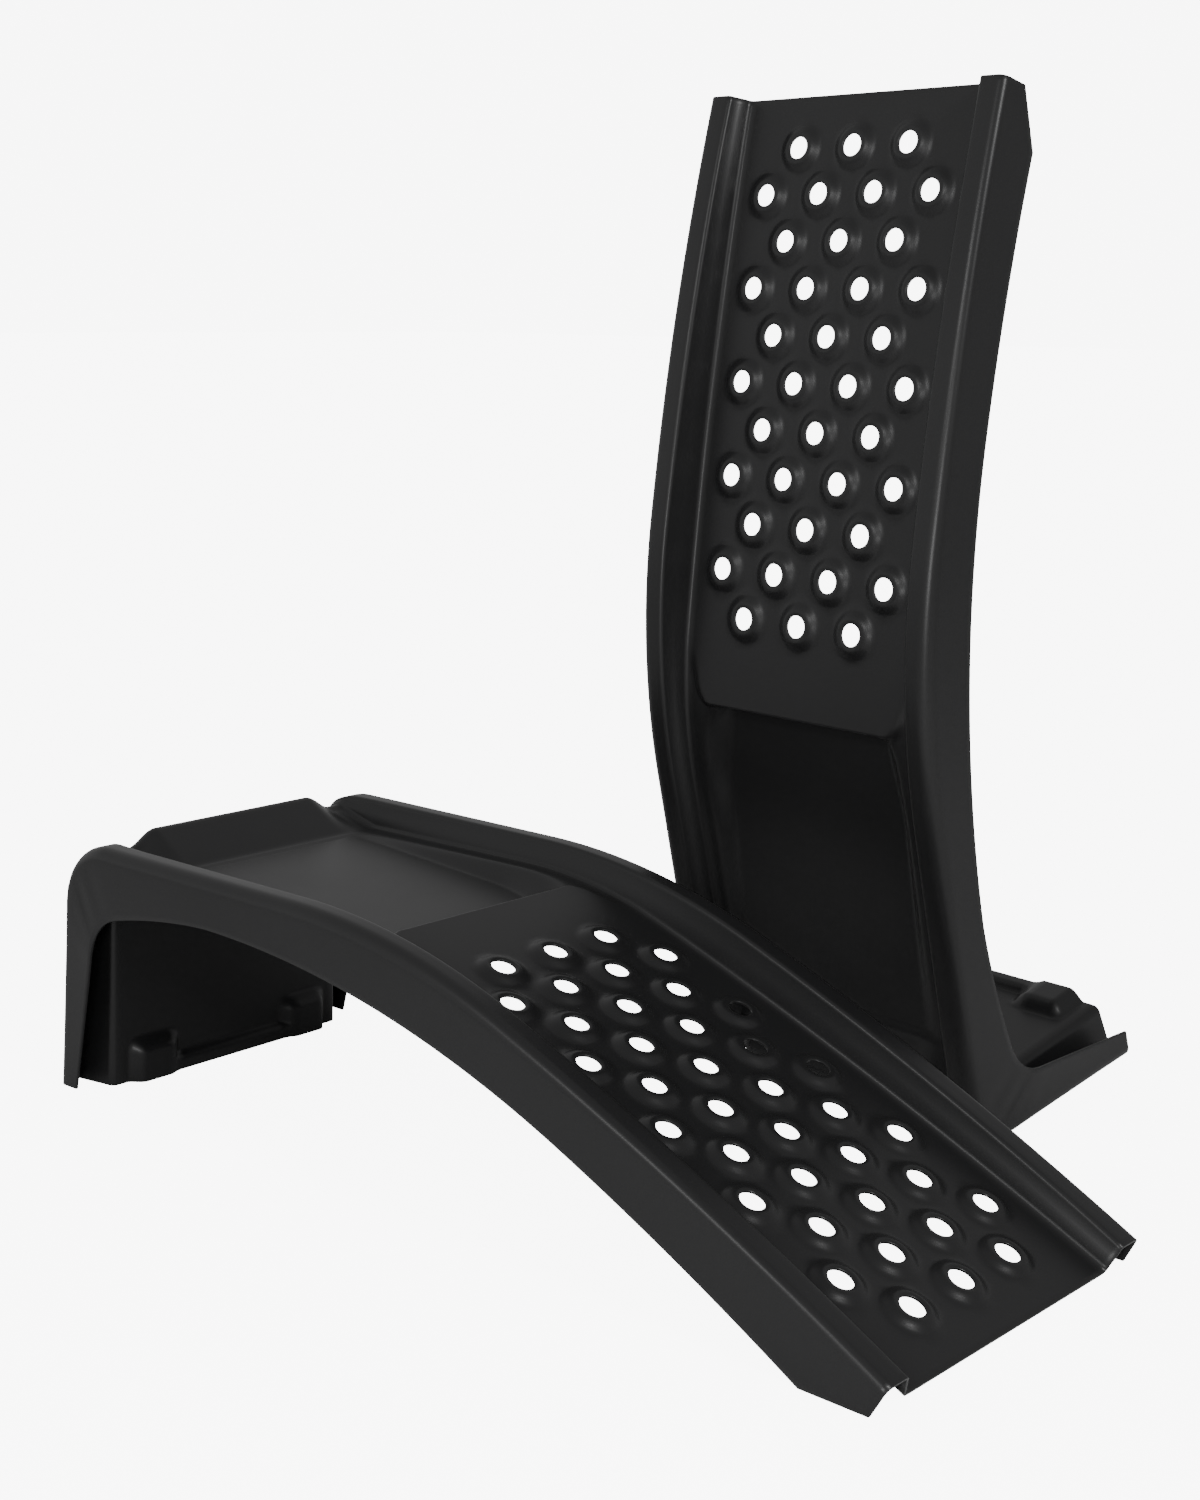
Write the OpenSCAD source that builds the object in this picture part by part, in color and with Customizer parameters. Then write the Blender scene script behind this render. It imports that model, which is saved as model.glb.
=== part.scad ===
// Pair of pressed sheet-steel wheel ramps: one lies as it is used, one stands on its high end.
// Each ramp is drawn in its own use frame: X towards the toe, Y across, Z up, floor at Z = 0.
// The bends of the one-piece pressing divide it into its named parts.

/* [Sheet] */
// Thickness of the pressed sheet
sheet = 2; // [1.5:0.1:3]

/* [Widths] */
// Half of the width over the outer flanges
outer_y = 149; // [147:1:155]
// Half of the clear width between the rails
panel_y = 119; // [116:1:122]
// Half of the width of the cradle's sunken floor
cradle_y = 94; // [90:1:98]
// Half of the width of the wheel stop's full height
stop_y = 86; // [80:1:90]

/* [Deck] */
// Slope of the deck at its toe edge, in degrees
deck_toe_slope = 25.3; // [25:0.1:26]
// Slope that the deck loses on its way up, in degrees
deck_bend = 7.6; // [7:0.1:8]
// Length of the deck along its surface
deck_len = 489; // [485:1:493]
// Distance between holes across a row
hole_pitch = 55; // [50:0.1:58]
// Distance between rows of holes
row_pitch = 37.4; // [35:0.1:38]
// Number of rows of holes
rows = 11; // [9:1:11]
// Distance of the first row from the toe edge
first_row = 42; // [38:1:46]
// Diameter of a hole
hole_d = 17.5; // [16:0.5:24]

/* [Rails] */
// Slope of the rails at the toe, in degrees
rail_toe_slope = 28; // [27.5:0.1:28.5]
// Slope where the rails' lower stretch ends, in degrees
rail_mid_slope = 20.9; // [20.5:0.1:21.3]
// Length of the rails' lower stretch
rail_low_len = 348; // [345:1:351]
// Radius of the bend from the slope to the level top
rail_bend_r = 584; // [576:1:592]
// Length of the level top of the rails
rail_level_len = 210; // [206:1:214]
// Radius of the corner from the level top into the leg
corner_r = 55; // [50:1:58]
// Outward lean of the legs, in degrees
leg_lean = 4; // [2:0.5:5]

/* [High end] */
// Distance of the end wall's outer face from the toe
wall_x = 752; // [750:1:754]
// Height of the wheel stop's top
stop_z = 203; // [200:1:204]
// Height of the wheel stop's ends, beside the rails
notch_z = 191; // [188:1:194]
// Height of the cradle's floor at its step
cradle_z = 164; // [160:1:168]
// Height of a foot pad in the end wall
pad_h = 30; // [20:1:40]
// Width of a foot pad
pad_w = 56; // [44:1:60]
// Depth of a foot pad
pad_depth = 8; // [5:1:10]

/* [Standing ramp] */
// Lean of the standing ramp's length from upright, in degrees
stand_lean = 13.7; // [10:0.1:20]
// Turn of the standing ramp about the vertical, in degrees
stand_turn = 84.6; // [75:0.1:90]
// Place of the standing ramp's toe along the lying ramp
stand_x = -323; // [-400:1:-300]
// Place of the standing ramp's toe beside the lying ramp
stand_y = 282; // [270:1:340]

/* [Hidden] */
$fn = 48;
coat = [0.10, 0.10, 0.105];
cut = 1;

// Toe end: the deck's edge and the rails' top start on the cut end of the flange
toe_deck = [3.5, 3.5];
toe_rail = [11.5, 20];

// Lower edge of the outer flange: foot at the toe, slope, bend, and arched corner into the leg
foot_len = 50;
edge_toe_slope = 29;
edge_mid_slope = 22.8;
edge_low_len = 213;
edge_bend_r = 925;
edge_corner = [-700, 107];
edge_corner_r = 43;
leg_width = 21;

// Steps of a drawn curve, and steps of the longest curves
arc_steps = 10;
long_steps = 14;

// A stretch climbs towards -X at its slope; a bend changes its slope evenly by its turn.
function climb(p, len, slope) = [p[0] - len * cos(slope), p[1] + len * sin(slope)];
function bend(p, len, slope, turn, n, i = 0) =
    i >= n ? [] :
    let (q = climb(p, len / n, slope + turn * (i + 0.5) / n))
    concat([q], bend(q, len, slope, turn, n, i + 1));
function last(v) = v[len(v) - 1];
function reverse(v) = [for (i = [len(v) - 1:-1:0]) v[i]];
function arc_len(r, turn) = r * turn * PI / 180;

// Top of the rails from the toe to the leg's tip, set in by t
function rail_line(t) =
    let (
        start = toe_rail - t * [sin(rail_toe_slope), cos(rail_toe_slope)],
        low = bend(start, rail_low_len, rail_toe_slope, rail_mid_slope - rail_toe_slope, arc_steps),
        top = bend(last(low), arc_len(rail_bend_r - t, rail_mid_slope), rail_mid_slope,
                   -rail_mid_slope, long_steps),
        level_end = last(top) - [rail_level_len, 0],
        turn = 90 - leg_lean,
        corner = bend(level_end, arc_len(corner_r - t, turn), 0, -turn, arc_steps),
        tip = climb(last(corner), last(corner)[1] / cos(leg_lean), -turn)
    )
    concat([start], low, top, [level_end], corner, [tip]);

// Deck surface from its toe edge to the step, lowered by t
function deck_line(t) =
    let (start = toe_deck - t * [sin(deck_toe_slope), cos(deck_toe_slope)])
    concat([start], bend(start, deck_len, deck_toe_slope, -deck_bend, long_steps));
function deck_slope(s) = deck_toe_slope - deck_bend * s / deck_len;
function deck_point(s) =
    last(bend(toe_deck, s, deck_toe_slope, deck_slope(s) - deck_toe_slope, arc_steps));

// Lower edge of the outer flange from the toe to the leg's tip
function edge_line() =
    let (
        low = bend([-foot_len, 0], edge_low_len, edge_toe_slope,
                   edge_mid_slope - edge_toe_slope, arc_steps),
        top = bend(last(low), arc_len(edge_bend_r, edge_mid_slope), edge_mid_slope,
                   -edge_mid_slope, arc_steps),
        corner = [for (a = [100:10:170]) edge_corner + edge_corner_r * [cos(a), sin(a)]],
        tip = last(rail_line(0)) + [leg_width, 0]
    )
    concat([[0, 0], [-foot_len, 0]], low, top, corner, [tip]);

// High end: the step, the wheel stop and the end wall, as points on the upper face
step_top = last(deck_line(0));
step_run = 7;
step_foot = [step_top[0] - step_run, cradle_z];
ledge_fall = 2.5;
stop_foot = [-700, step_top[1] - ledge_fall];
stop_peak = [8 - wall_x, stop_z];
wall_top = [-wall_x, stop_z - 6];
wall_foot = [-wall_x, 0];

// The standing ramp rests on the rounded corner of its rails
corner_center = rail_line(0)[1 + arc_steps + long_steps] - [0, corner_r];
stand_z = corner_r - corner_center[0] * cos(stand_lean) + corner_center[1] * sin(stand_lean);

// The origin lies below the middle of the box round both ramps
outline = concat(rail_line(0), edge_line());
function stand_reach(p) = -p[0] * sin(stand_lean) - p[1] * cos(stand_lean);
standing = [
    for (p = outline, y = [-outer_y, outer_y])
        [stand_x + stand_reach(p) * cos(stand_turn) - y * sin(stand_turn),
         stand_y + stand_reach(p) * sin(stand_turn) + y * cos(stand_turn)]
];
all_x = concat([for (p = outline) p[0]], [for (p = standing) p[0]]);
all_y = concat([-outer_y, outer_y], [for (p = standing) p[1]]);
middle = [(min(all_x) + max(all_x)) / 2, (min(all_y) + max(all_y)) / 2];

// Side view of a shape, pulled across from y0 to y1
module side_plate(points, y0, y1) {
    translate([0, y1, 0]) rotate([90, 0, 0]) linear_extrude(height = y1 - y0) polygon(points);
}

// Perforated slope: rows of three and four holes in turn
module deck() {
    color(coat) difference() {
        side_plate(concat(deck_line(0), reverse(deck_line(sheet))), -panel_y, panel_y);
        for (i = [0:rows - 1]) {
            s = first_row + i * row_pitch;
            count = i % 2 == 0 ? 3 : 4;
            p = deck_point(s);
            for (j = [0:count - 1])
                translate([p[0], (j - (count - 1) / 2) * hole_pitch, p[1]])
                    rotate([0, deck_slope(s), 0])
                        cylinder(h = 8 * sheet, d = hole_d, center = true);
        }
    }
}

// Sunken floor behind the deck, with a ledge along each rail
module cradle() {
    deck_end = last(deck_line(sheet));
    stop_under = stop_foot - [0, sheet];
    above = [0, cut];
    color(coat) {
        difference() {
            side_plate([step_top, stop_foot, stop_under, step_foot + [sheet, -sheet], deck_end],
                       -cradle_y - sheet, cradle_y + sheet);
            side_plate([step_top + above, step_top, step_foot, stop_foot, stop_foot + above],
                       -cradle_y, cradle_y);
        }
        for (side = [-1, 1]) scale([1, side, 1])
            side_plate([step_top, stop_foot, stop_under, deck_end], cradle_y + sheet, panel_y);
    }
}

// Ridge across the high end, lower beside the rails
module wheel_stop() {
    stop_under = stop_foot - [0, sheet];
    rise = (notch_z - stop_foot[1]) / (stop_peak[1] - stop_foot[1]);
    low_front = stop_foot + rise * (stop_peak - stop_foot);
    low_back = [-wall_x, notch_z];
    low_inside = [low_back + [sheet, -sheet], low_front - [0, sheet], stop_under];
    wall_join = low_back - [0, sheet];
    color(coat) {
        side_plate([stop_foot, stop_peak, wall_top, wall_join, wall_join + [sheet, 0],
                    wall_top + [sheet, 0], stop_peak - [0, sheet], stop_under],
                   -stop_y, stop_y);
        for (side = [-1, 1]) scale([1, side, 1]) {
            side_plate(concat([stop_foot, low_front, low_back], low_inside), stop_y, panel_y);
            side_plate(concat([stop_foot, stop_peak, wall_top, low_back], low_inside),
                       stop_y - sheet, stop_y);
        }
    }
}

// Wall below the wheel stop, with a hollow foot pad pressed into each lower corner
module end_wall() {
    top = notch_z - sheet;
    color(coat) {
        difference() {
            side_plate([[-wall_x, top], wall_foot, wall_foot + [sheet, 0],
                        [sheet - wall_x, top]], -panel_y, panel_y);
            for (side = [-1, 1]) scale([1, side, 1])
                translate([-wall_x - cut, panel_y - pad_w + sheet, -cut])
                    cube([sheet + 2 * cut, pad_w - 2 * sheet, pad_h - sheet + cut]);
        }
        for (side = [-1, 1]) scale([1, side, 1])
            translate([sheet - wall_x, panel_y - pad_w, 0]) difference() {
                cube([pad_depth, pad_w, pad_h]);
                translate([-cut, sheet, -cut])
                    cube([pad_depth - sheet + cut, pad_w - 2 * sheet, pad_h - sheet + cut]);
            }
    }
}

// Hollow rail with a flat top, an inner wall, an outer flange and a leg; side is -1 or 1
module rail(side) {
    top = rail_line(0);
    below = concat(deck_line(sheet), [
        step_foot - [0, sheet], stop_foot - [0, 2 * sheet], wall_top + [sheet, -4 * sheet],
        wall_foot + [sheet, 0]
    ]);
    color(coat) scale([1, side, 1]) {
        side_plate(concat(top, reverse(rail_line(sheet))), panel_y, outer_y);
        side_plate(concat(top, reverse(below)), panel_y, panel_y + sheet);
        side_plate(concat(top, reverse(edge_line())), outer_y - sheet, outer_y);
    }
}

module lie() {
    translate([-middle[0], -middle[1], 0]) children();
}

module stand() {
    translate([stand_x - middle[0], stand_y - middle[1], stand_z])
        rotate([0, 0, stand_turn]) rotate([0, -90 - stand_lean, 0]) children();
}

lie() deck();  // lying_deck
lie() cradle();  // lying_cradle
lie() wheel_stop();  // lying_wheel_stop
lie() end_wall();  // lying_end_wall
lie() rail(-1);  // lying_near_rail
lie() rail(1);  // lying_far_rail
stand() deck();  // standing_deck
stand() cradle();  // standing_cradle
stand() wheel_stop();  // standing_wheel_stop
stand() end_wall();  // standing_end_wall
stand() rail(-1);  // standing_near_rail
stand() rail(1);  // standing_far_rail
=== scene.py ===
import math

import bpy
import numpy as np
from mathutils import Euler, Matrix, Vector


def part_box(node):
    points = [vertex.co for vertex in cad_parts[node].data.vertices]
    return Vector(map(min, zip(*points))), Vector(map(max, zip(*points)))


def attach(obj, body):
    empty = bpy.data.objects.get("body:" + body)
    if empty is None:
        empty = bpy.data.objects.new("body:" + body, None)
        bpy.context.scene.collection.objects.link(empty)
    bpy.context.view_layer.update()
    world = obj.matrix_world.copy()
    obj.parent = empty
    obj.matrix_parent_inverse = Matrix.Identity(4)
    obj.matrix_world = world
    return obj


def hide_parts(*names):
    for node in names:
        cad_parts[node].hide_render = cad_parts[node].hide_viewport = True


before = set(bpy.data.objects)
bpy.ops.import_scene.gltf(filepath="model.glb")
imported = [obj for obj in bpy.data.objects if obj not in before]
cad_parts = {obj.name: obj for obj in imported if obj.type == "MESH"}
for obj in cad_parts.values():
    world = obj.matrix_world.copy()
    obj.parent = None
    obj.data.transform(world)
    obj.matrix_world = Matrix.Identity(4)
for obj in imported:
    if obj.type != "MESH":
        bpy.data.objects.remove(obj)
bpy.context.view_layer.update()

# A ramp is drawn in millimetres in its own use frame: X towards the toe, Y across, Z up, floor at 0.
MM = 0.001
SHEET = 2.0
CUT_EDGE_R = 0.5
CUT_EDGE_ANGLE = 60.0
OUTER_Y = 149.0
PANEL_Y = 119.0

# Deck: its toe edge, length and slopes
TOE_DECK = (3.5, 3.5)
DECK_LEN = 489.0
DECK_TOE_SLOPE = 25.3
DECK_TOP_SLOPE = 17.7
DECK_OVERRUN = 40.0

# Grip holes: rows of three and four in turn, each hole with a raised rim that turns down at the hole
HOLE_ROWS = 11
HOLE_PITCH = 55.0
ROW_PITCH = 37.4
FIRST_ROW = 42.0
HOLE_R = 8.75
BUMP_R = 22.0
BUMP_TOP_R = 11.5
BUMP_H = 4.4
LIP_R = 11.4
LIP_DROP = 0.6

# The deck's end: a plate with rounded corners that stands proud of the ledges beside it
STEP = (-451.1, 182.6)
TIP_Y = 101.0
TIP_FLARE = 14.0
TIP_CORNER_R = 14.0
STEP_RUN = 7.0
STEP_PEAK_RUN = 1.0

# Cradle: the ledges bend gently past the deck's end, and the floor sinks between them. Its walls
# are steep, but ease in beside the deck's end and near it.
LEDGE_SLOPE = -0.6
LEDGE_REACH = 65.0
CRADLE_Y = 104.0
CRADLE_SIDE = 15.0
CRADLE_SIDE_EASE = 14.0
CRADLE_EASE_RUN = 80.0
BESIDE_TIP = 18.0
BESIDE_TIP_SPAN = 20.0
BESIDE_TIP_RUN = 45.0
FLOOR_HIGH = 164.0
FLOOR_LOW_DROP = 1.0

# Wheel stop and end wall, with notches between the stop's ends and the rails
STOP_SLOPE = 30.0
STOP_FACE = 45.0
STOP_FOOT_R = 12.0
STOP_RIDGE_R = 7.0
STOP_TOP_Z = 203.0
NOTCH_Z = 191.0
NOTCH_START_Z = 181.0
STOP_Y = 80.0
NOTCH_Y = 106.0
WALL_X = -752.0
STOP_START_X = WALL_X + 56.0
PANEL_CORNER_X = -741.0
WALL_PLAIN_Z = 120.0
WALL_NOTCHED_Z = 200.0

# Foot pads and free bottom strip, pressed into the end wall
PAD_H = 36.0
PAD_DEPTH = 10.0
PAD_INNER_Y = 54.0
PAD_OUTER_Y = 105.0
PAD_SIDE = 12.0
STRIP_H = 14.0
STRIP_DEPTH = 6.0
STRIP_OUTER_Y = 103.0
STRIP_SIDE = 8.0
STRIP_TOP_SIDE = 6.0

# Rails: crest line, corner and legs
TOE_RAIL = (11.5, 20.0)
RAIL_TOE_SLOPE = 28.0
RAIL_ARCH_SLOPE = 20.9
RAIL_LOWER_LEN = 348.0
RAIL_ARCH_R = 584.0
RAIL_TOP_Z = 202.4
RAIL_LEVEL = 216.5
CORNER_R = 48.0
LEG_SLOPE = -86.0

# Lower edge of the rails' outer flanges: level foot, arch, and inner side of the legs
EDGE_FOOT = 50.0
EDGE_TOE_SLOPE = 29.0
EDGE_ARCH_SLOPE = 22.8
EDGE_LOWER_LEN = 213.0
EDGE_ARCH_R = 925.0
EDGE_FALL = (108.0, -3.0, -13.0)
EDGE_CORNER_R = 43.0
EDGE_LEG_SLOPE = -77.0
EDGE_LEG_LEN = 121.0

# Rails in cross-section
CREST_TOE_R = 7.0
CREST_TOP_R = 11.0
CREST_GROWS_FROM = 120.0
CREST_GROWS_OVER = 300.0
INNER_R = 4.0
INNER_LEAN = 5.0
BASE_R = 5.0
CREST_INSET = 1.5
LEG_CREST_INSET = 3.0
LEG_EDGE_INSET = 5.0
LEG_NARROWING = 0.6
LEG_TAPER_Z = 160.0
FULL_LEAN_WALL = 20.0
MOST_OF_WALL = 0.4
BASE_STEP = 0.6

# Folds in the flange round the corner of its lower edge
WRINKLE_START_X = -706.0
WRINKLE_SPAN = 70.0
WRINKLE_DEPTH = 0.6
WRINKLES = 4
WRINKLE_BUNCHING = 1.4
FOLD_PEAK = 0.7

# Attitude of the standing ramp, in degrees: back from upright, and round from the lying ramp
STAND_LEAN = 13.7
STAND_TURN = 84.6


# ---------------------------------------------------------------- lines in the side view

class Path:
    """A smooth line in the side view, made of pieces of (length, start slope, end slope)."""

    def __init__(self, start, pieces, step=0.5):
        points = [start]
        for length, slope_a, slope_b in pieces:
            count = max(1, int(math.ceil(length / step)))
            for i in range(count):
                slope = math.radians(slope_a + (slope_b - slope_a) * (i + 0.5) / count)
                x, z = points[-1]
                run = length / count
                points.append((x - run * math.cos(slope), z + run * math.sin(slope)))
        self.x, self.z = np.array(points, float).T
        self.s = np.concatenate([[0.0], np.cumsum(np.hypot(np.diff(self.x), np.diff(self.z)))])

    def at(self, s):
        return np.stack([np.interp(s, self.s, self.x), np.interp(s, self.s, self.z)], -1)

    def slope(self, s):
        """Direction of travel at s, as a unit vector."""
        ahead = self.at(np.asarray(s) + 0.5) - self.at(np.asarray(s) - 0.5)
        return ahead / np.linalg.norm(ahead, axis=-1, keepdims=True)

    def s_of_x(self, x):
        return float(np.interp(-x, -self.x, self.s))

    def s_of_z(self, z):
        """Where the falling stretch at the high end passes height z."""
        top = int(np.argmax(self.z))
        return float(np.interp(-z, -self.z[top:], self.s[top:]))


def arc(radius, turn):
    return radius * math.radians(abs(turn))


def fall_to_floor(height, slope):
    return height / math.sin(math.radians(abs(slope)))


def rail_path():
    corner_end_z = RAIL_TOP_Z - CORNER_R * (1 - math.cos(math.radians(LEG_SLOPE)))
    return Path(TOE_RAIL, [
        (RAIL_LOWER_LEN, RAIL_TOE_SLOPE, RAIL_ARCH_SLOPE),
        (arc(RAIL_ARCH_R, RAIL_ARCH_SLOPE), RAIL_ARCH_SLOPE, 0),
        (RAIL_LEVEL, 0, 0),
        (arc(CORNER_R, LEG_SLOPE), 0, LEG_SLOPE),
        (fall_to_floor(corner_end_z, LEG_SLOPE), LEG_SLOPE, LEG_SLOPE)])


def edge_path():
    """Lower edge of the outer flange: foot at the toe, arch, corner and leg."""
    corner_slope = EDGE_FALL[2]
    return Path((0.0, 0.0), [
        (EDGE_FOOT, 0, 0),
        (EDGE_LOWER_LEN, EDGE_TOE_SLOPE, EDGE_ARCH_SLOPE),
        (arc(EDGE_ARCH_R, EDGE_ARCH_SLOPE), EDGE_ARCH_SLOPE, 0),
        EDGE_FALL,
        (arc(EDGE_CORNER_R, EDGE_LEG_SLOPE - corner_slope), corner_slope, EDGE_LEG_SLOPE),
        (EDGE_LEG_LEN, EDGE_LEG_SLOPE, EDGE_LEG_SLOPE)])


def deck_path():
    """The deck alone, straight on past the edge of its raised end."""
    return Path(TOE_DECK, [
        (DECK_LEN, DECK_TOE_SLOPE, DECK_TOP_SLOPE),
        (DECK_OVERRUN, DECK_TOP_SLOPE, DECK_TOP_SLOPE)])


def panel_path():
    """Deck, ledge line, wheel stop and end wall at the rails' foot, down to the floor."""
    bend_slope = DECK_TOP_SLOPE + (DECK_TOE_SLOPE - DECK_TOP_SLOPE) * LEDGE_REACH / DECK_LEN
    foot_turn = STOP_SLOPE - LEDGE_SLOPE
    ridge_turn = STOP_SLOPE + 90
    stop_run = (STOP_FOOT_R * math.sin(math.radians(foot_turn))
                + STOP_FACE * math.cos(math.radians(STOP_SLOPE))
                + STOP_RIDGE_R * (1 + math.sin(math.radians(STOP_SLOPE))))
    pieces = [
        (DECK_LEN - LEDGE_REACH, DECK_TOE_SLOPE, bend_slope),
        (2 * LEDGE_REACH, bend_slope, LEDGE_SLOPE)]
    ledge = Path(TOE_DECK, pieces).x[-1] - WALL_X - stop_run
    pieces += [
        (ledge, LEDGE_SLOPE, LEDGE_SLOPE),
        (arc(STOP_FOOT_R, foot_turn), LEDGE_SLOPE, STOP_SLOPE),
        (STOP_FACE, STOP_SLOPE, STOP_SLOPE),
        (arc(STOP_RIDGE_R, ridge_turn), STOP_SLOPE, -90)]
    height = Path(TOE_DECK, pieces).z[-1]
    return Path(TOE_DECK, pieces + [(height, -90, -90)])


RAIL = rail_path()
EDGE = edge_path()
DECK = deck_path()
PANEL = panel_path()
CRADLE_START = DECK_LEN - 20.0
WALL_START = PANEL.s_of_x(WALL_X + 1.0)
STOP_START = PANEL.s_of_x(STOP_START_X)
LEG_START = PANEL.s_of_x(PANEL_CORNER_X)
WRINKLE_START = EDGE.s_of_x(WRINKLE_START_X)


# ---------------------------------------------------------------- the pressed panel's relief

def smooth(t):
    t = np.clip(t, 0.0, 1.0)
    return t * t * (3 - 2 * t)


def hole_centres():
    """Places of the grip holes as (distance up the deck, y), in rows of three and four."""
    centres = []
    for row in range(HOLE_ROWS):
        count = 3 if row % 2 == 0 else 4
        for i in range(count):
            centres.append((FIRST_ROW + row * ROW_PITCH, (i - (count - 1) / 2) * HOLE_PITCH))
    return np.array(centres)


CENTRES = hole_centres()


def bump_height(s, y):
    """Height of the raised rims above the deck; each turns down a little at its hole."""
    gap = np.hypot(s[..., None] - CENTRES[:, 0], y[..., None] - CENTRES[:, 1]).min(-1)
    rise = 1 - smooth((gap - BUMP_TOP_R) / (BUMP_R - BUMP_TOP_R))
    lip = np.clip((LIP_R - gap) / (LIP_R - HOLE_R), 0, 1) ** 2
    return BUMP_H * rise - LIP_DROP * lip


def tip_lift(x, y, ledge_z):
    """How far the deck's end stands proud of the ledge line, with rounded corners in plan."""
    along = x - STEP[0]
    spread = smooth(along / LEDGE_REACH)
    across = TIP_Y + TIP_FLARE * spread - np.abs(y)
    r = TIP_CORNER_R
    in_x, in_y = np.maximum(r - along, 0), np.maximum(r - across, 0)
    inside = np.where((along < r) & (across < r), r - np.hypot(in_x, in_y),
                      np.minimum(along, across))
    deck_z = np.interp(-x, -DECK.x, DECK.z)
    return smooth((inside + STEP_RUN - STEP_PEAK_RUN) / STEP_RUN) * np.maximum(deck_z - ledge_z, 0)


def cradle_depth(x, y, ledge_z):
    """Depth of the cradle's floor below the ledge line."""
    side = np.abs(y)
    past = STEP[0] + STEP_PEAK_RUN - x
    beside = smooth((side - TIP_Y + BESIDE_TIP) / BESIDE_TIP_SPAN)
    start = smooth(past / (STEP_RUN + BESIDE_TIP_RUN * beside))
    ease = 1 - smooth(past / CRADLE_EASE_RUN)
    wall = smooth((CRADLE_Y - side) / (CRADLE_SIDE + CRADLE_SIDE_EASE * ease))
    run = np.clip((x - STEP[0]) / (STOP_START_X - STEP[0]), 0, 1)
    floor_z = FLOOR_HIGH + run * (ledge_z - FLOOR_LOW_DROP - FLOOR_HIGH)
    return start * wall * np.maximum(ledge_z - floor_z, 0) * (x > STOP_START_X)


def stop_end_drop(s, y, z):
    """How far the wheel stop's ends fall away to the notches beside the rails."""
    end = smooth((np.abs(y) - STOP_Y) / (NOTCH_Y - STOP_Y))
    on_wall = smooth((z - WALL_PLAIN_Z) / (WALL_NOTCHED_Z - WALL_PLAIN_Z))
    on_stop = np.clip((z - NOTCH_START_Z) / (STOP_TOP_Z - NOTCH_START_Z), 0, 1)
    reach = np.where(s > WALL_START, on_wall, on_stop)
    return end * reach * (STOP_TOP_Z - NOTCH_Z) * (s > STOP_START)


def panel_points(s, y):
    """Points (x, z) of the panel's upper face at distance s along its path, y across."""
    s, y = np.broadcast_arrays(np.asarray(s, float), np.asarray(y, float))
    line = PANEL.at(s)
    x, z = line[..., 0], line[..., 1]
    ledge_z = z.copy()
    travel = PANEL.slope(s)
    rise = bump_height(s, y)
    x = x + rise * travel[..., 1]
    z = z - rise * travel[..., 0]
    z = z + np.where(s > DECK_LEN - LEDGE_REACH, tip_lift(x, y, ledge_z), 0.0)
    z = z - np.where(s > CRADLE_START, cradle_depth(x, y, ledge_z), 0.0)
    z = z - stop_end_drop(s, y, z)
    x = x + np.where(s > WALL_START, wall_relief(y, z), 0.0)
    return np.stack([x, z], -1)


def wall_relief(y, z):
    """How far the end wall is pressed in towards the toe: foot pads and the free bottom strip."""
    side = np.abs(y)
    across = smooth((side - PAD_INNER_Y) / PAD_SIDE) * smooth((PAD_OUTER_Y - side) / PAD_SIDE)
    pad = PAD_DEPTH * across * smooth((PAD_H - z) / PAD_SIDE)
    strip_across = smooth((STRIP_OUTER_Y - side) / STRIP_SIDE)
    strip = STRIP_DEPTH * strip_across * smooth((STRIP_H - z) / STRIP_TOP_SIDE)
    return np.maximum(pad, strip)


# ---------------------------------------------------------------- stations and cross-sections

CELL_ROWS = 8
CELL_COLUMNS = 16
PANEL_COLUMNS = 4 * CELL_COLUMNS + 1
COLUMN_SHIFT_RUN = 25.0
ROWS_START = FIRST_ROW - ROW_PITCH / 2
ROWS_END = ROWS_START + HOLE_ROWS * ROW_PITCH
FOOT_STATION = ROWS_START + ROW_PITCH


def stations():
    """Distances along the panel's path at which the sheet is drawn, from the toe to the floor."""
    step = PANEL.s_of_x(STEP[0] + 3)
    floor = PANEL.s_of_x(STEP[0] - 15)
    foot = PANEL.s_of_x(STOP_START_X + 4)
    wall = PANEL.s_of_z(190)
    strip = PANEL.s_of_z(42)
    runs = [(0, ROWS_START, 5), (ROWS_START, ROWS_END, HOLE_ROWS * CELL_ROWS),
            (ROWS_END, step, 16), (step, floor, 22), (floor, foot, 34), (foot, wall, 36),
            (wall, strip, 12), (strip, PANEL.s[-1], 20)]
    parts = [np.linspace(a, b, n, endpoint=False) for a, b, n in runs]
    return np.concatenate(parts + [[PANEL.s[-1]]])


def matching_stations(path, foot, step_x, stop_x, corner_x, shoulder_z, wall_z, leg_z):
    """Distances along a path at the places where the panel, crest and lower edge go together."""
    return [0.0, foot, path.s_of_x(step_x), path.s_of_x(stop_x), path.s_of_x(corner_x),
            path.s_of_z(shoulder_z), path.s_of_z(wall_z), path.s_of_z(leg_z), path.s[-1]]


PANEL_MATCH = matching_stations(PANEL, FOOT_STATION, STEP[0], -692, PANEL_CORNER_X, 196, 120, 40)
RAIL_MATCH = matching_stations(RAIL, FOOT_STATION, -447, -692, -738, 182, 120, 40)
EDGE_MATCH = matching_stations(EDGE, EDGE_FOOT, -437, -668, -709, 128, 95, 36)


def wrinkle(edge_s):
    """Depth of the small folds that fan out from the corner of the flange's lower edge."""
    along = (edge_s - WRINKLE_START) / WRINKLE_SPAN
    if not 0 < along < 1:
        return 0.0
    fade = math.sin(math.pi * along)
    return WRINKLE_DEPTH * fade * math.sin(math.pi * WRINKLES * along ** WRINKLE_BUNCHING) ** 2


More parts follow.
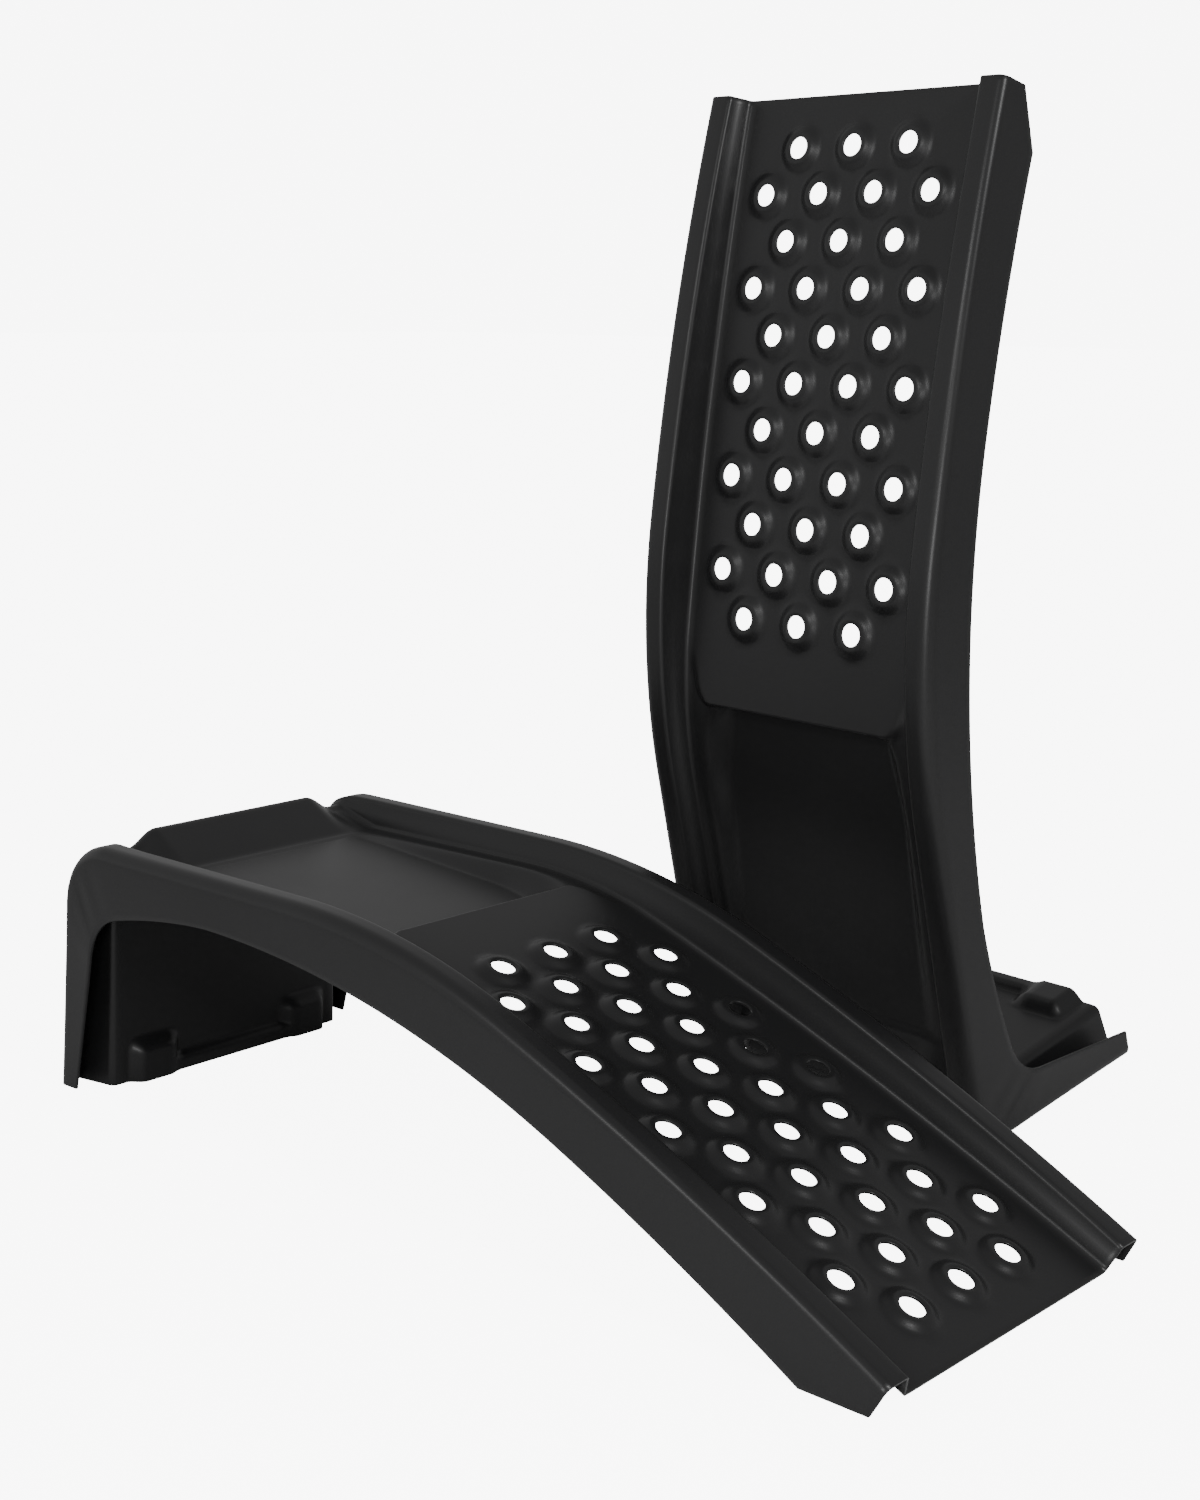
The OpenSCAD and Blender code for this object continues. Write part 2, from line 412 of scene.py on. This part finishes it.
def rail_section(crest, base, edge, leg, fold):
    """One rail's cross-section from its flange's edge to the panel: (y, x, z) in order.

    crest, base and edge are points in the side view; leg is 0 on the ramp and 1 at a leg's tip;
    fold is how far a wrinkle sets the flange's edge in.
    """
    down = edge - crest
    inward = base - crest
    drop, wall = np.linalg.norm(down), np.linalg.norm(inward)
    down, inward = down / drop, inward / wall
    crest_y = OUTER_Y - CREST_INSET - LEG_CREST_INSET * leg
    edge_y = OUTER_Y - LEG_EDGE_INSET * leg
    grown = float(smooth((-crest[0] - CREST_GROWS_FROM) / CREST_GROWS_OVER)) * (1 - LEG_NARROWING * leg)
    crest_r = CREST_TOE_R + (CREST_TOP_R - CREST_TOE_R) * grown
    fillet = min(BASE_R, MOST_OF_WALL * wall)
    inner = min(INNER_R, MOST_OF_WALL * wall)
    rows = []
    for v in np.linspace(1, 0, 10)[:-1]:
        depth = crest_r + (drop - crest_r) * v
        set_in = fold * math.sin(math.pi * v ** FOLD_PEAK)
        rows.append((crest_y + (edge_y - crest_y) * v - set_in, down, depth))
    for a in np.linspace(90, 0, 9):
        turn = math.radians(a)
        rows.append((crest_y - crest_r * (1 - math.sin(turn)), down, crest_r * (1 - math.cos(turn))))
    lean = INNER_LEAN * min(1.0, wall / FULL_LEAN_WALL)
    wall_y = PANEL_Y + lean
    flat = np.linspace(crest_y - crest_r, wall_y + inner, 4)[1:-1]
    rows += [(y, inward, 0.0) for y in flat]
    for a in np.linspace(0, 90, 6):
        turn = math.radians(a)
        rows.append((wall_y + inner * (1 - math.sin(turn)), inward, inner * (1 - math.cos(turn))))
    rows.append((PANEL_Y + (lean - BASE_STEP) / 2, inward, (inner + wall - fillet) / 2))
    for a in np.linspace(0, 90, 6)[:-1]:
        turn = math.radians(a)
        base_y = PANEL_Y - BASE_STEP - (fillet - BASE_STEP) * (1 - math.cos(turn))
        rows.append((base_y, inward, wall - fillet * (1 - math.sin(turn))))
    return [(y, *(crest + direction * depth)) for y, direction, depth in rows]


def panel_columns(s):
    """Places of the panel's columns: even over the holes, closer at the cradle's sides beyond."""
    half = 2 * HOLE_PITCH
    even = np.linspace(-half, half, PANEL_COLUMNS)
    t = even / half
    close = np.sign(t) * np.interp(np.abs(t), [0, 0.4, 0.86, 1], [0, 72, 106, half])
    mix = float(smooth((s - ROWS_END) / COLUMN_SHIFT_RUN))
    return even + (close - even) * mix


def sheet_grid():
    """Vertex positions of the whole sheet: stations along, columns across."""
    s_all = stations()
    crest_s = np.interp(s_all, PANEL_MATCH, RAIL_MATCH)
    edge_s = np.interp(s_all, PANEL_MATCH, EDGE_MATCH)
    grid = []
    for s, cs, es in zip(s_all, crest_s, edge_s):
        crest, edge = RAIL.at(cs), EDGE.at(es)
        base = panel_points(s, PANEL_Y - BASE_R)
        leg = float(np.clip(1 - crest[1] / LEG_TAPER_Z, 0, 1)) if s > LEG_START else 0.0
        side = rail_section(crest, base, edge, leg, wrinkle(es))
        columns = panel_columns(s)
        middle = panel_points(s, columns)
        row = [(x, -y, z) for y, x, z in side]
        row += [(x, y, z) for y, (x, z) in zip(columns, middle)]
        row += [(x, y, z) for y, x, z in reversed(side)]
        grid.append(row)
    return s_all, np.array(grid)


def ring(centre, radius):
    """Points of a circle round a hole, in the order of its cell's border."""
    count = 2 * (CELL_ROWS + CELL_COLUMNS)
    corner = math.degrees(math.atan2(HOLE_PITCH, ROW_PITCH))
    angle = np.radians(corner - 180.0 - 360.0 / count * np.arange(count))
    return centre[0] + radius * np.cos(angle), centre[1] + radius * np.sin(angle)


RINGS = (18.0, 16.0, 14.0, 12.4, 11.4, 10.4, 9.5, HOLE_R)
BORDER_SHARES = (0.72, 0.45, 0.2)


def add_hole(points, faces, centre, border, border_sy):
    """Fill a cell between its border and the hole with rings that climb the raised rim."""
    count = len(border)
    loop = border
    b_s, b_y = border_sy
    c_s, c_y = ring(centre, RINGS[0])
    rings = [(c_s + (b_s - c_s) * k, c_y + (b_y - c_y) * k) for k in BORDER_SHARES]
    rings += [ring(centre, r) for r in RINGS]
    for r_s, r_y in rings:
        xz = panel_points(r_s, r_y)
        start = len(points)
        points.extend(zip(xz[:, 0], r_y, xz[:, 1]))
        new = [start + k for k in range(count)]
        for k in range(count):
            n = (k + 1) % count
            faces.append((loop[k], loop[n], new[n], new[k]))
        loop = new


def ramp_mesh():
    """The whole pressing as one sheet, its outer face only."""
    s_all, grid = sheet_grid()
    n_rows, n_cols = grid.shape[:2]
    points = [tuple(p) for p in grid.reshape(-1, 3)]
    first_column = (n_cols - PANEL_COLUMNS) // 2
    first_row = int(np.argmin(np.abs(s_all - ROWS_START)))
    taken = np.zeros((n_rows - 1, n_cols - 1), bool)
    faces = []
    for centre in CENTRES:
        i0 = first_row + int(round((centre[0] - FIRST_ROW) / ROW_PITCH)) * CELL_ROWS
        offset = (centre[1] + 1.5 * HOLE_PITCH) / HOLE_PITCH * CELL_COLUMNS
        j0 = first_column + int(round(offset))
        i1, j1 = i0 + CELL_ROWS, j0 + CELL_COLUMNS
        taken[i0:i1, j0:j1] = True
        path = [(i0, j) for j in range(j0, j1)] + [(i, j1) for i in range(i0, i1)]
        path += [(i1, j) for j in range(j1, j0, -1)] + [(i, j0) for i in range(i1, i0, -1)]
        border = [i * n_cols + j for i, j in path]
        border_s = np.array([s_all[i] for i, _ in path])
        border_y = np.array([grid[i, j, 1] for i, j in path])
        add_hole(points, faces, centre, border, (border_s, border_y))
    for i in range(n_rows - 1):
        for j in range(n_cols - 1):
            if not taken[i, j]:
                a = i * n_cols + j
                faces.append((a, a + 1, a + n_cols + 1, a + n_cols))
    used = sorted({k for face in faces for k in face})
    index = {k: n for n, k in enumerate(used)}
    verts = [tuple(MM * c for c in points[k]) for k in used]
    mesh = bpy.data.meshes.new("ramp_sheet")
    mesh.from_pydata(verts, [], [[index[k] for k in face] for face in faces])
    mesh.validate()
    mesh.update()
    return mesh


def make_ramp(name, mesh, place, material):
    mesh = mesh.copy()
    mesh.transform(place)
    ramp = bpy.data.objects.new(name, mesh)
    bpy.context.scene.collection.objects.link(ramp)
    solid = ramp.modifiers.new("sheet", "SOLIDIFY")
    solid.thickness = SHEET * MM
    solid.offset = -1
    bevel = ramp.modifiers.new("cut_edges", "BEVEL")
    bevel.width = CUT_EDGE_R * MM
    bevel.segments = 1
    bevel.limit_method = "ANGLE"
    bevel.angle_limit = math.radians(CUT_EDGE_ANGLE)
    for polygon in mesh.polygons:
        polygon.use_smooth = True
    mesh.materials.clear()
    mesh.materials.append(material)
    return ramp


# ---------------------------------------------------------------- material

COAT_ROUGHNESS = 0.34
COAT_ROUGHNESS_SPREAD = 0.04
COAT_DARK = (0.012, 0.012, 0.0125, 1)
COAT_PALE = (0.016, 0.016, 0.0165, 1)
COAT_SPECULAR = 0.42
PATCH_SCALE = 9.0
PEEL_SCALE = 700.0
PEEL_HEIGHT = 0.15
PEEL_STRENGTH = 0.25


def powder_coat():
    """Satin black powder coat on steel: faint orange peel, gloss that varies a little."""
    material = bpy.data.materials.new("satin_black_coat")
    material.use_nodes = True
    nodes, links = material.node_tree.nodes, material.node_tree.links
    shader = nodes["Principled BSDF"]
    shader.inputs["Specular IOR Level"].default_value = COAT_SPECULAR
    place = nodes.new("ShaderNodeTexCoord").outputs["Object"]
    patches = nodes.new("ShaderNodeTexNoise")
    patches.inputs["Scale"].default_value = PATCH_SCALE
    patches.inputs["Detail"].default_value = 3.0
    links.new(place, patches.inputs["Vector"])
    tone = nodes.new("ShaderNodeMix")
    tone.data_type = "RGBA"
    tone.inputs["A"].default_value = COAT_DARK
    tone.inputs["B"].default_value = COAT_PALE
    links.new(patches.outputs["Fac"], tone.inputs["Factor"])
    links.new(tone.outputs["Result"], shader.inputs["Base Color"])
    gloss = nodes.new("ShaderNodeMapRange")
    gloss.inputs["To Min"].default_value = COAT_ROUGHNESS - COAT_ROUGHNESS_SPREAD
    gloss.inputs["To Max"].default_value = COAT_ROUGHNESS + COAT_ROUGHNESS_SPREAD
    links.new(patches.outputs["Fac"], gloss.inputs["Value"])
    links.new(gloss.outputs["Result"], shader.inputs["Roughness"])
    peel = nodes.new("ShaderNodeTexNoise")
    peel.inputs["Scale"].default_value = PEEL_SCALE
    peel.inputs["Detail"].default_value = 2.0
    links.new(place, peel.inputs["Vector"])
    bump = nodes.new("ShaderNodeBump")
    bump.inputs["Strength"].default_value = PEEL_STRENGTH
    bump.inputs["Distance"].default_value = PEEL_HEIGHT * MM
    links.new(peel.outputs["Fac"], bump.inputs["Height"])
    links.new(bump.outputs["Normal"], shader.inputs["Normal"])
    return material


# ---------------------------------------------------------------- placing both ramps

near_low, near_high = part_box("lying_near_rail")
toe_corner = Vector((near_high.x - TOE_RAIL[0] * MM, near_low.y + OUTER_Y * MM, 0))


def standing_turn():
    lean = Matrix.Rotation(math.radians(-90 - STAND_LEAN), 4, "Y")
    return Matrix.Rotation(math.radians(STAND_TURN), 4, "Z") @ lean


def joined_box(names):
    lows, highs = zip(*(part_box(n) for n in names))
    return np.array(lows).min(0), np.array(highs).max(0)


def standing_place():
    """Sets the turned outline of the rails into the box that the standing ramp's nodes fill."""
    low, high = joined_box([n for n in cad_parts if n.startswith("standing_")])
    turn = standing_turn()
    corners = []
    for path in (RAIL, EDGE):
        for x, z in zip(path.x, path.z):
            corners += [turn @ Vector((x * MM, y * MM, z * MM)) for y in (-OUTER_Y, OUTER_Y)]
    corners = np.array(corners)
    shift = (low + high - corners.min(0) - corners.max(0)) / 2
    return Matrix.Translation(shift) @ turn


lying_place = Matrix.Translation(toe_corner)
coat = powder_coat()
sheet_mesh = ramp_mesh()
for which, place in (("lying", lying_place), ("standing", standing_place())):
    ramp = make_ramp(which + "_ramp", sheet_mesh, place, coat)
    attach(ramp, "root")
    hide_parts(*[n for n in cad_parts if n.startswith(which + "_")])


# ---------------------------------------------------------------- floor, light and camera

FLOOR_SIZE = 60.0
FLOOR_TONE = 0.8
FLOOR_GLOW = 8.0
BACKDROP = 8.0

# The room as a light: its level at the horizon and overhead, the way to its brightest side, and
# its gain towards that side and away from it
ROOM_HORIZON = 0.46
ROOM_TOP = 0.24
ROOM_FRONT = (-0.72, -0.7, 0.0)
ROOM_FRONT_GAIN = 1.5
ROOM_BEHIND_GAIN = 0.85

# Lights: place, target, size, power
LIGHTS = {
    "key": ((2.2, -0.6, 1.9), (0.1, 0, 0.2), (0.5, 0.5), 26),
    "front": ((0.85, -1.6, 0.58), (0.06, 0.06, 0.45), (0.3, 0.35), 6),
    "rails": ((0.1, -1.6, 1.25), (0.15, -0.3, 0.12), (0.7, 0.15), 5),
}

# Camera, placed from the lying ramp's toe
LENS = 54.475
SHIFT = (0.034, -0.1607)
CAMERA_PLACE = Vector((0.7015, -1.1926, 0.6335))
CAMERA_TURN = (84.734, -0.707, 42.602)


def seen_directly(nodes):
    """1 for what is looked at directly, 0 for the light that it gives to other surfaces."""
    return nodes.new("ShaderNodeLightPath").outputs["Is Camera Ray"]


def make_floor():
    """Pale floor that glows to look at, and otherwise only passes on the light that falls on it."""
    bpy.ops.mesh.primitive_plane_add(size=FLOOR_SIZE, location=(0, 0, 0))
    floor = bpy.context.object
    floor.name = "floor"
    material = bpy.data.materials.new("pale_floor")
    material.use_nodes = True
    nodes, links = material.node_tree.nodes, material.node_tree.links
    shader = nodes["Principled BSDF"]
    shader.inputs["Base Color"].default_value = (FLOOR_TONE, FLOOR_TONE, FLOOR_TONE, 1)
    shader.inputs["Roughness"].default_value = 1.0
    shader.inputs["Specular IOR Level"].default_value = 0.0
    shader.inputs["Emission Color"].default_value = (1, 1, 1, 1)
    glow = nodes.new("ShaderNodeMath")
    glow.operation = "MULTIPLY"
    glow.inputs[1].default_value = FLOOR_GLOW
    links.new(seen_directly(nodes), glow.inputs[0])
    links.new(glow.outputs[0], shader.inputs["Emission Strength"])
    floor.data.materials.append(material)


def make_light(name, place, target, size, power):
    light = bpy.data.lights.new(name, "AREA")
    light.shape = "RECTANGLE"
    light.size, light.size_y = size
    light.energy = power
    lamp = bpy.data.objects.new(name, light)
    bpy.context.scene.collection.objects.link(lamp)
    lamp.visible_camera = False
    lamp.location = place
    lamp.rotation_euler = (Vector(target) - Vector(place)).to_track_quat("-Z", "Y").to_euler()


def make_world():
    """White to look at; as a light, a room brighter round the horizon, and most at the front left."""
    world = bpy.data.worlds.new("studio")
    bpy.context.scene.world = world
    world.use_nodes = True
    nodes, links = world.node_tree.nodes, world.node_tree.links
    way = nodes.new("ShaderNodeTexCoord").outputs["Generated"]
    direction = nodes.new("ShaderNodeSeparateXYZ")
    links.new(way, direction.inputs[0])
    room = nodes.new("ShaderNodeMapRange")
    room.inputs["To Min"].default_value = ROOM_HORIZON
    room.inputs["To Max"].default_value = ROOM_TOP
    links.new(direction.outputs["Z"], room.inputs["Value"])
    front = nodes.new("ShaderNodeVectorMath")
    front.operation = "DOT_PRODUCT"
    front.inputs[1].default_value = ROOM_FRONT
    links.new(way, front.inputs[0])
    gain = nodes.new("ShaderNodeMapRange")
    gain.inputs["From Min"].default_value = -1.0
    gain.inputs["To Min"].default_value = ROOM_BEHIND_GAIN
    gain.inputs["To Max"].default_value = ROOM_FRONT_GAIN
    links.new(front.outputs["Value"], gain.inputs["Value"])
    level = nodes.new("ShaderNodeMath")
    level.operation = "MULTIPLY"
    links.new(room.outputs["Result"], level.inputs[0])
    links.new(gain.outputs["Result"], level.inputs[1])
    strength = nodes.new("ShaderNodeMapRange")
    strength.inputs["To Max"].default_value = BACKDROP
    links.new(level.outputs[0], strength.inputs["To Min"])
    links.new(seen_directly(nodes), strength.inputs["Value"])
    background = nodes["Background"]
    background.inputs["Color"].default_value = (1, 1, 1, 1)
    links.new(strength.outputs["Result"], background.inputs["Strength"])


def make_camera():
    camera = bpy.data.cameras.new("camera")
    camera.lens = LENS
    camera.sensor_width = 36
    camera.shift_x, camera.shift_y = SHIFT
    camera.clip_start = 0.01
    eye = bpy.data.objects.new("camera", camera)
    bpy.context.scene.collection.objects.link(eye)
    eye.location = toe_corner + CAMERA_PLACE
    eye.rotation_euler = Euler([math.radians(a) for a in CAMERA_TURN])
    bpy.context.scene.camera = eye


make_floor()
make_world()
for light_name, setting in LIGHTS.items():
    make_light(light_name, *setting)
make_camera()
